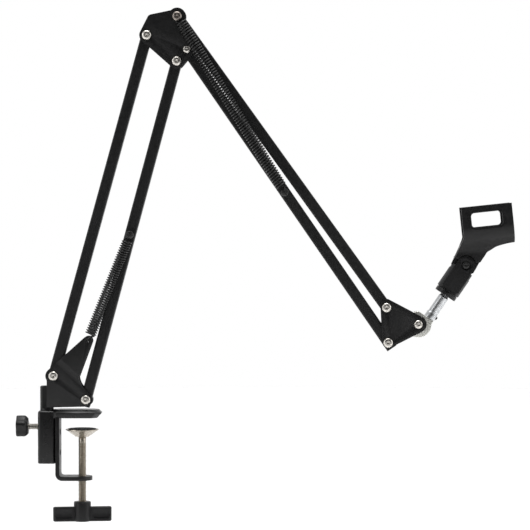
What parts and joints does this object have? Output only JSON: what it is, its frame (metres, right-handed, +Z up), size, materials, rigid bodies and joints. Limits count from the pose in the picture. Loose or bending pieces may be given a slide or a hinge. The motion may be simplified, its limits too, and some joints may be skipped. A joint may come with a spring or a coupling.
{
  "type": "microphone boom arm",
  "caption": "Desk-clamped scissor boom arm for a microphone: sprung parallel bars, swivel base, tilting head and snap-in clip.",
  "frame": {"origin": "centre of the upper jaw's underside, on the clamp screw's axis, where the desk's top surface is gripped", "axes": "+Z up, +X from the clamp towards the clip in the arms' plane, +Y away from the side that shows the bolt heads"},
  "size_m": [0.4819, 0.0376, 0.4968],
  "materials": {
    "black_paint": "satin powder coat",
    "black_plastic": "fine moulded texture",
    "spring_steel": "black oiled spring wire",
    "nickel_fasteners": "nickel plated",
    "black_fasteners": "blackened steel",
    "zinc_casting": "cast zinc",
    "chrome_rod": "chrome plated",
    "plated_screw": "zinc plated steel",
    "brass_insert": "turned",
    "pad_rubber": "matte"
  },
  "bodies": {
    "clamp": {"clamp_head": "black_paint", "clamp_bracket": "black_paint", "clamp_rivet_1": "black_paint", "clamp_rivet_2": "black_paint"},
    "clamp_disc_set": {"clamp_disc": "plated_screw", "disc_pad": "pad_rubber"},
    "clamp_screw_set": {"clamp_screw": "plated_screw", "clamp_handle": "black_plastic"},
    "thumb_set": {"thumb_screw": "nickel_fasteners", "thumb_knob": "black_plastic"},
    "base": {"swivel_post": "black_paint", "base_plate_front": "black_paint", "base_plate_rear": "black_paint", "bolt_E": "nickel_fasteners", "nut_E": "nickel_fasteners", "bolt_F": "nickel_fasteners", "nut_F": "nickel_fasteners"},
    "lower_main": {"lower_main_tube": "black_paint", "lower_spring_pin": "black_fasteners", "lower_spring_pin_nut": "black_fasteners"},
    "lower_guide": {"lower_guide_tube": "black_paint"},
    "lower_springs": {"lower_spring_front": "spring_steel", "lower_spring_rear": "spring_steel"},
    "lower_spring_ends": {"lower_spring_eye_front": "spring_steel", "lower_spring_eye_rear": "spring_steel"},
    "elbow": {"elbow_plate_front": "black_paint", "elbow_plate_rear": "black_paint", "bolt_A": "nickel_fasteners", "nut_A": "nickel_fasteners", "bolt_B": "nickel_fasteners", "nut_B": "nickel_fasteners", "bolt_C": "nickel_fasteners", "nut_C": "nickel_fasteners", "bolt_D": "nickel_fasteners", "nut_D": "nickel_fasteners"},
    "upper_main": {"upper_main_tube": "black_paint", "upper_spring_pin": "black_fasteners", "upper_spring_pin_nut": "black_fasteners"},
    "upper_guide": {"upper_guide_tube": "black_paint"},
    "upper_springs": {"upper_spring_front": "spring_steel", "upper_spring_rear": "spring_steel"},
    "upper_spring_ends": {"upper_spring_eye_front": "spring_steel", "upper_spring_eye_rear": "spring_steel"},
    "head": {"head_plate_front": "black_paint", "head_plate_rear": "black_paint", "bolt_G": "nickel_fasteners", "nut_G": "nickel_fasteners", "bolt_H": "nickel_fasteners", "nut_H": "nickel_fasteners", "bolt_I": "nickel_fasteners", "nut_I": "nickel_fasteners"},
    "tilt_fitting": {"tilt_knuckle": "zinc_casting", "adapter_rod": "chrome_rod", "rod_lock_screw": "black_fasteners"},
    "clip_socket": {"clip_base": "black_plastic", "thread_insert": "brass_insert", "clip_pivot_screw": "black_fasteners", "clip_pivot_nut": "nickel_fasteners"},
    "clip": {"clip_body": "black_plastic"}
  },
  "joints": [
    {"name": "clamp_feed", "type": "slide", "parent": "clamp", "child": "clamp_disc_set", "axis": [0, 0, 1], "range_m": [-0.03, 0.00875]},
    {"name": "clamp_spin", "type": "hinge", "parent": "clamp_disc_set", "child": "clamp_screw_set", "pos_m": [0, 0, -0.05], "axis": [0, 0, 1], "range_deg": [-8650, 2530]},
    {"name": "thumb_turn", "type": "hinge", "parent": "clamp", "child": "thumb_set", "pos_m": [-0.0424, 0, -0.0089], "axis": [1, 0, 0], "range_deg": [-1080, 90]},
    {"name": "swivel", "type": "hinge", "parent": "clamp", "child": "base", "pos_m": [-0.0342, 0, 0], "axis": [0, 0, 1], "continuous": true},
    {"name": "lower_arm", "type": "hinge", "parent": "base", "child": "lower_main", "pos_m": [0.0039, 0, 0.0174], "axis": [0, -1, 0], "range_deg": [-45, 1.4]},
    {"name": "lower_guide_swing", "type": "hinge", "parent": "base", "child": "lower_guide", "pos_m": [-0.0275, 0, 0.0405], "axis": [0, -1, 0], "range_deg": [-45.24, 1.99]},
    {"name": "lower_spring_swing", "type": "hinge", "parent": "base", "child": "lower_springs", "pos_m": [0.0057, 0, 0.0743], "axis": [0, -1, 0], "range_deg": [-58.48, 2.4], "deforming": ["lower_spring_front", "lower_spring_rear"]},
    {"name": "lower_spring_stretch", "type": "slide", "parent": "lower_springs", "child": "lower_spring_ends", "axis": [0.3726, 0, 0.928], "range_m": [-0.00143, 0.0335], "deforming": ["lower_spring_eye_front", "lower_spring_eye_rear"]},
    {"name": "elbow_turn", "type": "hinge", "parent": "lower_main", "child": "elbow", "pos_m": [0.09216, 0, 0.3445], "axis": [0, -1, 0], "range_deg": [-2.04, 46.79]},
    {"name": "upper_arm", "type": "hinge", "parent": "elbow", "child": "upper_main", "pos_m": [0.10186, 0, 0.3557], "axis": [0, -1, 0], "range_deg": [0, 75]},
    {"name": "upper_guide_swing", "type": "hinge", "parent": "elbow", "child": "upper_guide", "pos_m": [0.09266, 0, 0.3875], "axis": [0, -1, 0], "range_deg": [-0.6, 74.28]},
    {"name": "upper_spring_swing", "type": "hinge", "parent": "elbow", "child": "upper_springs", "pos_m": [0.09266, 0, 0.3875], "axis": [0, -1, 0], "range_deg": [-0.6, 67.29], "deforming": ["upper_spring_front", "upper_spring_rear"]},
    {"name": "upper_spring_stretch", "type": "slide", "parent": "upper_springs", "child": "upper_spring_ends", "axis": [0.5224, 0, -0.8527], "range_m": [-0.03076, 0.0004], "deforming": ["upper_spring_eye_front", "upper_spring_eye_rear"]},
    {"name": "head_turn", "type": "hinge", "parent": "upper_main", "child": "head", "pos_m": [0.29614, 0, 0.07303], "axis": [0, -1, 0], "range_deg": [-65.6, 0.6]},
    {"name": "head_tilt", "type": "hinge", "parent": "head", "child": "tilt_fitting", "pos_m": [0.32524, 0, 0.09073], "axis": [0, -1, 0], "range_deg": [-90, 45]},
    {"name": "clip_swivel", "type": "hinge", "parent": "tilt_fitting", "child": "clip_socket", "pos_m": [0.37076, 0, 0.1482], "axis": [0.5592, 0, 0.829], "continuous": true},
    {"name": "clip_tilt", "type": "hinge", "parent": "clip_socket", "child": "clip", "pos_m": [0.37109, 0, 0.14797], "axis": [0, -1, 0], "range_deg": [-64, 21]}
  ],
  "couplings": [
    {"joint": "clamp_spin", "follows": "clamp_feed", "rad_per_m": 5026.5},
    {"joint": "lower_guide_swing", "follows": "lower_arm", "ratio": 0.992},
    {"joint": "lower_spring_swing", "follows": "lower_arm", "ratio": 1.2862},
    {"joint": "lower_spring_stretch", "follows": "lower_arm", "m_per_rad": -0.042138},
    {"joint": "elbow_turn", "follows": "lower_arm", "ratio": -1.0265},
    {"joint": "upper_guide_swing", "follows": "upper_arm", "ratio": 0.9824},
    {"joint": "upper_spring_swing", "follows": "upper_arm", "ratio": 0.8892},
    {"joint": "upper_spring_stretch", "follows": "upper_arm", "m_per_rad": -0.023193},
    {"joint": "head_turn", "follows": "upper_arm", "ratio": -0.8667}
  ]
}
